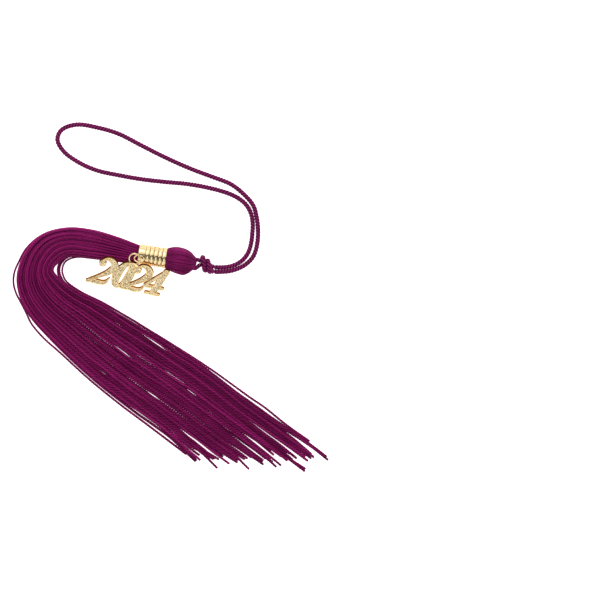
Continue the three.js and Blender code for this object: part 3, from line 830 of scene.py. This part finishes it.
GLITTER_SCATTER, GLITTER_GRAIN = 0.1, 0.09
GLITTER_INSET = RIM_WIDTH * 0.75
# Numerals in the order they are measured, each with the ones that lie over it
NUMERALS = ["zero", "first_two", "second_two", "four"]
COVERED_BY = [[1, 2], [], [3], []]


def stroke_distance(x, y, strokes, shift=0.0):
    best = np.full(x.shape, 1e9)
    for stroke in strokes:
        line = spline(stroke, 12 * (len(stroke) - 1) + 1) + np.array([shift, 0, 0])
        for (x0, y0, w0), (x1, y1, w1) in zip(line, line[1:]):
            dx, dy = x1 - x0, y1 - y0
            t = np.clip(((x - x0) * dx + (y - y0) * dy) / (dx * dx + dy * dy + 1e-9), 0, 1)
            best = np.minimum(best, np.hypot(x - x0 - t * dx, y - y0 - t * dy) - (w0 + t * (w1 - w0)))
    return best


def ellipse_distance(x, y, size):
    v = y - ZERO_CENTRE[1]
    u = x - ZERO_CENTRE[0] - ZERO_SLANT * v
    k = np.hypot(u / size[0], v / size[1])
    g = np.hypot(u / size[0] ** 2, v / size[1] ** 2)
    return k * (k - 1) / np.maximum(g, 1e-6)


def numeral_distances(x, y):
    zero = np.maximum(ellipse_distance(x, y, ZERO_SIZE), -ellipse_distance(x, y, ZERO_SLOT))
    return [zero, stroke_distance(x, y, TWO_STROKES), stroke_distance(x, y, TWO_STROKES, TWO_PITCH),
            stroke_distance(x, y, FOUR_STROKES)]


def charm_height(depth):
    """Front surface of a numeral at a depth inside its outline: a rounded rim, then the recess."""
    across = np.clip(depth / RIM_WIDTH, 0, 1) * 2 - 1
    rim = RIM_TOP - RIM_ROUNDING * np.abs(across) ** 2.5
    fall = np.clip((depth - RIM_WIDTH) / RECESS_WALL, 0, 1)
    return rim * (1 - fall) + RECESS_FLOOR * fall


def clipped_slab(name, x, y, inside, top, bottom, place, smooth):
    """Closed slab over the part of a grid where inside is below zero, its edge cut along that line."""
    verts, index = [], {}

    def corner(i, j):
        key = (i, j)
        if key not in index:
            index[key] = len(verts)
            verts.append((x[i, j], y[i, j], top[i, j]))
        return index[key]

    def crossing(a, b):
        key = (a, b) if a < b else (b, a)
        if key not in index:
            (i0, j0), (i1, j1) = key
            f0, f1 = inside[i0, j0], inside[i1, j1]
            t = min(0.97, max(0.03, f0 / (f0 - f1)))
            index[key] = len(verts)
            inner = top[i0, j0] if f0 < 0 else top[i1, j1]
            across = x[i0, j0] + t * (x[i1, j1] - x[i0, j0])
            up = y[i0, j0] + t * (y[i1, j1] - y[i0, j0])
            verts.append((across, up, inner))
        return index[key]

    faces, edges = [], {}
    for i in range(len(inside) - 1):
        row = inside[i:i + 2]
        if row.min() >= 0:
            continue
        for j in range(row.shape[1] - 1):
            cell = [(i, j), (i, j + 1), (i + 1, j + 1), (i + 1, j)]
            signs = [inside[c] < 0 for c in cell]
            if not any(signs):
                continue
            poly = []
            for k in range(4):
                a, b = cell[k], cell[(k + 1) % 4]
                if signs[k]:
                    poly.append(corner(*a))
                if signs[k] != signs[(k + 1) % 4]:
                    poly.append(crossing(a, b))
            if len(poly) > 2:
                faces.append(poly)
                for a, b in zip(poly, poly[1:] + poly[:1]):
                    edges[(a, b)] = True
    n = len(verts)
    low = [(vx, vy, bottom) for vx, vy, _ in verts]
    walls = [(b, a, a + n, b + n) for a, b in edges if (b, a) not in edges]
    under = [[v + n for v in reversed(face)] for face in faces]
    obj = new_object(name, place(np.array(verts + low)), faces + walls + under, smooth)
    return obj, slice(len(faces), len(faces) + len(walls))


def charm_grid(step):
    """Points over the numerals and a little beyond."""
    return np.meshgrid(np.arange(-0.6, 42.2, step), np.arange(-0.6, 17.6, step))


def make_plate():
    x, y = charm_grid(CHARM_GRID)
    numerals = numeral_distances(x, y)
    lug = stroke_distance(x, y, [LUG_STROKE])
    outline = np.minimum.reduce(numerals + [lug])
    height = np.where(lug < 0, LUG_TOP, RIM_TOP - RIM_ROUNDING)
    for distance in numerals:
        height = np.where(distance < 0, charm_height(-distance), height)
    plate, walls = clipped_slab("charm_numerals", x, y, outline, height, -RIM_TOP, from_charm, True)
    finish_piece(plate, "charm", GOLD_CAST, ["charm_plate"])
    plate.data.materials.append(GOLD_SHADE)
    # Painted shade: the numerals' side walls and the faces down at the recess floor take the dark gold
    painted_shade_faces = np.zeros(len(plate.data.polygons), np.int32)
    painted_shade_faces[walls] = 1
    floor_level = RECESS_FLOOR + RECESS_WALL
    heights = np.array([v.co[:] for v in plate.data.vertices]) / MM + LAYOUT_ORIGIN - CHARM_CORNER
    above = heights @ CHARM_TURN[:, 2]
    for face in plate.data.polygons[:walls.start]:
        if above[face.vertices[0]] < floor_level:
            painted_shade_faces[face.index] = 1
    plate.data.polygons.foreach_set("material_index", painted_shade_faces)
    plate.data.set_sharp_from_angle(angle=math.radians(50))


def make_glitter():
    x, y = charm_grid(GLITTER_GRID)
    distances = numeral_distances(x, y)
    dice = np.random.default_rng(7)
    jx = x + dice.uniform(-GLITTER_SCATTER, GLITTER_SCATTER, x.shape)
    jy = y + dice.uniform(-GLITTER_SCATTER, GLITTER_SCATTER, y.shape)
    top = GLITTER_TOP + dice.uniform(-GLITTER_GRAIN, GLITTER_GRAIN, x.shape)
    for name, distance, over in zip(NUMERALS, distances, COVERED_BY):
        region = distance + GLITTER_INSET
        for other in over:
            region = np.maximum(region, RECESS_WALL - distances[other])
        inlay, _ = clipped_slab(f"glitter_{name}", jx, jy, region, top, RECESS_FLOOR - GLITTER_SINK,
                                from_charm, False)
        finish_piece(inlay, "charm", GLITTER, [f"charm_inlay_{name}"])


make_plate()
make_glitter()

# ---------------------------------------------------------------- fringe
STATIONS = [
    # outer edge, inner edge, middle height, reach below, reach above, squareness
    ((-26.75, 57.75), (-29.25, 45.75), 4.3, 4.3, 4.0, 2.3),
    ((-39.75, 61.55), (-40.75, 47.05), 3.0, 3.0, 3.7, 2.8),
    ((-52.75, 62.65), (-49.75, 48.1), 2.2, 2.2, 3.6, 3.2),
    ((-64.75, 59.45), (-53.5, 46.5), 1.5, 1.5, 3.5, 3.6),
    ((-73.25, 51.25), (-55.1, 43.25), 1.0, 1.0, 3.3, 4.0),
    ((-77.75, 39.25), (-54.95, 40.0), 0.6, 0.6, 3.2, 4.4),
    ((-77.0, 29.75), (-52.75, 35.75), 0.3, 0.3, 3.1, 5.0),
    ((-72.0, 18.75), (-45.75, 31.0), 0.0, 0.0, 3.0, 5.0),
    ((-60.75, 5.75), (-33.25, 25.25), 0.0, 0.0, 2.8, 5.0),
    ((-43.75, -10.65), (-19.25, 17.25), 0.0, 0.0, 2.7, 5.0),
    ((-25.75, -25.4), (0.25, 5.25), 0.0, 0.0, 2.6, 5.0),
    ((-8.25, -38.25), (19.25, -7.0), 0.0, 0.0, 2.6, 5.0),
    ((9.25, -51.75), (39.25, -22.25), 0.0, 0.0, 2.5, 5.0),
    ((30.5, -67.0), (71.5, -46.0), 0.0, 0.0, 2.4, 5.0),
    ((51.0, -82.0), (100.0, -69.0), 0.0, 0.0, 2.4, 5.0),
]
STRAY_HEIGHT = 0.7
# Single strands that leave the lay: (layer, column) and a route, at STRAY_HEIGHT where none is given
STRAYS = [
    ((0, 0), [[-12.0, 51.6, 7.0], [-17.5, 53.4, 6.6], [-26.75, 57.3, 4.6], [-39.75, 60.9, 3.2],
              [-52.75, 61.9, 2.4], [-64.75, 58.7, 1.6], [-72.6, 52.0, 1.1], [-76.4, 45.2, 0.8],
              [-78.5, 40.2], [-79.0, 34.8], [-77.7, 29.7], [-75.4, 25.2], [-72.8, 20.2],
              [-70.2, 14.7], [-64.2, 7.5], [-55.8, 0.0], [-40.9, -13.6], [-25.9, -25.8],
              [-10.9, -37.0], [7.6, -51.0]]),
    ((1, 7), [[-12.0, 45.6, 6.0], [-17.5, 45.6, 5.7], [-29.2, 46.8, 3.8], [-40.7, 48.4, 2.4],
              [-47.5, 49.0, 1.4], [-52.4, 48.2], [-56.0, 44.6], [-56.9, 41.1], [-56.2, 37.8],
              [-54.4, 34.6], [-47.6, 28.9], [-35.2, 22.4], [-20.8, 14.4], [-1.4, 2.6],
              [17.4, -9.8], [37.0, -25.0], [56.8, -40.2]]),
    ((0, 7), [[-12.0, 45.4, 6.0], [-17.5, 45.3, 5.4], [-29.2, 46.4, 3.4], [-40.7, 47.7, 2.0],
              [-47.5, 48.3, 1.2], [-51.8, 47.6], [-55.1, 44.5], [-56.0, 41.1], [-55.3, 38.1],
              [-53.4, 35.0], [-46.8, 29.7], [-34.6, 23.2], [-20.4, 15.0], [-1.0, 3.2],
              [17.8, -9.2], [37.6, -24.4], [57.4, -39.8]]),
    ((1, 7), [[-12.0, 44.9, 6.0], [-17.5, 44.8, 5.4], [-29.2, 45.9, 3.2], [-40.7, 47.2, 1.8],
              [-46.2, 47.7, 1.0], [-50.6, 46.9], [-53.5, 44.8], [-54.6, 41.1], [-54.0, 38.2],
              [-52.5, 35.6], [-45.6, 30.6], [-33.6, 24.6], [-19.8, 16.4], [-0.2, 4.5],
              [18.9, -7.8], [39.2, -22.4], [46.4, -27.3], [57.9, -36.5], [69.1, -44.4]]),
]
FERRULE_STATIONS = [(5.9, 4.0), (2.5, 4.1), (0.0, 4.35), (-2.5, 4.9)]
SAMPLES = 700
STRANDS_PER_LAYER = 37
STRAND_JITTER = 0.2
OUTERMOST, LAY_SHARE, LAY_LIMIT = 0.985, 0.96, 1.08
COLUMNS = 8

# Stretches of the fringe's run, as (start, length): where the strands open from their packing,
# reach full thickness, lie flat, tuck in at the inner edge and come loose
OPENING, THICKENING, FLATTENING = (4, 32), (52, 36), (85, 70)
TUCKING, LOOSENING = (135, 30), (170, 50)

# Strands wander, as waves of (share, length of run), and short slits open between them
WANDER = 0.3
WANDER_START = (0, 40)
WANDER_WAVES = [(0.45, 17), (0.35, 31), (0.2, 8.5)]
SLIT_COUNT = 62
SLIT_SPREAD, SLIT_LIMIT = 2.2, 0.24
CLUMP_COUNT, CLUMP_SIZE = 5, 0.12
EDGE_LOOSENESS, EDGE_FROM = 1.3, 0.8
TUCK, TUCK_FROM = 1.3, 0.6

# The inner strands are drawn outwards in the bend, about this station
BEND_STATION, BEND_PULL = 8.8, 3.4
BEND_BEFORE, BEND_AFTER = 9.0, 6.0

# How far the strands reach past the last station but one, in stations
TIP_MIDDLE, TIP_SLOPE, TIP_DROOP, TIP_SCATTER = 0.82, 0.55, 0.2, 0.07
LONG_SHARE, LONG_REACH = 0.13, (0.1, 0.42)
SPLAY, LONG_SPLAY, SPLAY_LENGTH = 1.2, 2.6, 1.3


def fringe_tracks(samples):
    """Edges and section of the laid fringe, sampled from inside the ferrule to past the tips."""
    rows = []
    for along, half in FERRULE_STATIONS:
        ends = np.array([[along, half, 0], [along, -half, 0]]) @ FERRULE_TURN.T + RIM_CENTRE
        rows.append([*ends[0, :2], *ends[1, :2], 6.0, 3.9, 3.9, 2.0])
    for outer, inner, middle, below, above, square in STATIONS:
        rows.append([*outer, *inner, middle, below, above, square])
    return spline(rows, samples)


def rise(run, start, length):
    """0 before start, 1 from length further on, straight between."""
    return np.clip((run - start) / length, 0, 1)


def strand_shift(across0, run, width, slits, waves, wander):
    """Sideways shift of a strand from its place in the lay, in millimetres."""
    parted = 0
    for at, where, long, push in slits:
        gap = (across0 - at) * width / 2
        near = np.exp(-(gap / SLIT_SPREAD) ** 2 - ((run - where) / long) ** 2)
        parted = parted + np.sign(gap) * push * near
    shift = wander * WANDER + np.clip(parted, -SLIT_LIMIT, SLIT_LIMIT)
    clump = sum(np.sin(rate * np.pi * across0 + start) for rate, start in waves) * CLUMP_SIZE
    edge = EDGE_LOOSENESS * np.sign(across0) * max(0, abs(across0) - EDGE_FROM) / (1 - EDGE_FROM)
    return shift + (clump + edge) * rise(run, *LOOSENING) ** 1.3


def strand_level(layer, i, run, sunk, phase):
    """Height of a strand in the lay, from 0 at its underside to 1 at its top."""
    packed = ((i * 5 + 2 * layer) % 4 + 0.5) / 4
    spread = 0.05 + 0.9 * (i % 2)
    opened = rise(run, *OPENING)
    mix = packed * (1 - opened) + spread * opened
    flat = rise(run, *FLATTENING)
    mix = mix * (1 - flat) + (1 - sunk * (0.6 + 0.4 * np.sin(run / 12 + phase))) * flat
    level = 0.5 + 0.5 * mix
    return level if layer else 1 - level


def make_fringe():
    tracks = fringe_tracks(SAMPLES)
    last = len(FERRULE_STATIONS) + len(STATIONS) - 1
    stations = np.linspace(0, last, SAMPLES)
    outer, inner = tracks[:, 0:2], tracks[:, 2:4]
    middle, below, above, square = tracks[:, 4], tracks[:, 5], tracks[:, 6], tracks[:, 7]
    width = np.linalg.norm(outer - inner, axis=1)
    centre_line = (outer + inner) / 2
    run = np.concatenate([[0], np.cumsum(np.linalg.norm(np.diff(centre_line, axis=0), axis=1))])
    slits = [(rng.uniform(-0.97, 0.97), rng.uniform(112, 228), rng.uniform(3, 6.5), rng.uniform(0.2, 0.33))
             for _ in range(SLIT_COUNT)]
    waves = [(rng.uniform(2.5, 9), rng.uniform(0, 2 * np.pi)) for _ in range(CLUMP_COUNT)]
    bend_run = np.interp(BEND_STATION, stations, run)
    pulled = BEND_PULL * np.exp(-((run - bend_run) / np.where(run < bend_run, BEND_BEFORE, BEND_AFTER)) ** 2)
    radius = STRAND_RADIUS * (0.72 + 0.28 * rise(run, *THICKENING))
    ropes = {}
    for layer in range(2):
        for i in range(STRANDS_PER_LAYER):
            place = i + 0.5 + rng.uniform(-STRAND_JITTER, STRAND_JITTER) + 0.5 * layer - 0.25
            across0 = float(np.clip(place / STRANDS_PER_LAYER * 2 - 1, -OUTERMOST, OUTERMOST))
            column = min(COLUMNS - 1, int((across0 + 1) / 2 * COLUMNS))
            phase = rng.uniform(0, 2 * np.pi, 3)
            waving = zip(WANDER_WAVES, phase)
            wander = sum(share * np.sin(run / length + turn) for (share, length), turn in waving)
            wander = wander * rise(run, *WANDER_START)
            shift = strand_shift(across0, run, width, slits, waves, wander)
            shift = shift - pulled * max(0, across0 + 0.1) / 1.1
            shift = shift - TUCK * max(0, across0 - TUCK_FROM) / (1 - TUCK_FROM) * rise(run, *TUCKING)
            across = np.clip(across0 * LAY_SHARE + 2 * shift / width, -LAY_LIMIT, LAY_LIMIT)
            fullness = np.clip(1 - np.minimum(np.abs(across), 0.97) ** square, 0, 1) ** (1 / square)
            level = strand_level(layer, i, run, rng.uniform(0, 1) ** 1.5, phase[2])
            bottom = middle - fullness * below + radius
            height = np.maximum(fullness * (below + above) - 2 * radius, 0)
            z = np.maximum(bottom + level * height + 0.12 * np.sin(run / 13 + phase[1]), radius + 0.02)
            xy = outer + (inner - outer) * ((1 + across) / 2)[:, None]
            reach = TIP_MIDDLE + TIP_SLOPE * across0 - TIP_DROOP * across0 ** 2 + rng.normal(0, TIP_SCATTER)
            long_one = rng.uniform() < LONG_SHARE and across0 < 0.7
            if long_one:
                reach += rng.uniform(*LONG_REACH)
            end = last - 2 + max(0.02, reach)
            keep = stations <= end
            pts = np.column_stack([xy, z])[keep]
            splay = np.clip(1 - (end - stations[keep]) / SPLAY_LENGTH, 0, 1) ** 2
            side, _ = flat_frames(pts)
            pts = pts + side * (splay * rng.normal(0, LONG_SPLAY if long_one else SPLAY))[:, None]
            rope = ropes.setdefault((layer, column), Rope(plies=3, per_ply=3, lay=3.9, dip=0.5))
            # Painted shade: in the upper layer every other strand lies lower, under its neighbours, and its
            # tone is cut to a third so that it reads darker
            tone = rng.uniform(0, 1) * (0.3 if layer and i % 2 == 0 else 1)
            rope.add(pts, radius[keep], tone=tone, turn=rng.uniform(0, 6), step=0.3)
    for key, route in STRAYS:
        pts = spline([[*p, STRAY_HEIGHT] if len(p) < 3 else p for p in route], 500)
        ropes[key].add(pts, np.linspace(0.5, STRAND_RADIUS, 8), turn=rng.uniform(0, 6), step=0.3)
    for (layer, column), rope in sorted(ropes.items()):
        level_name = ("lower", "upper")[layer]
        obj = rope.build(f"fringe_{level_name}_strands_{column + 1}")
        finish_piece(obj, "tassel_body", YARN, [f"fringe_{level_name}_lock_{column + 1}"])


make_fringe()
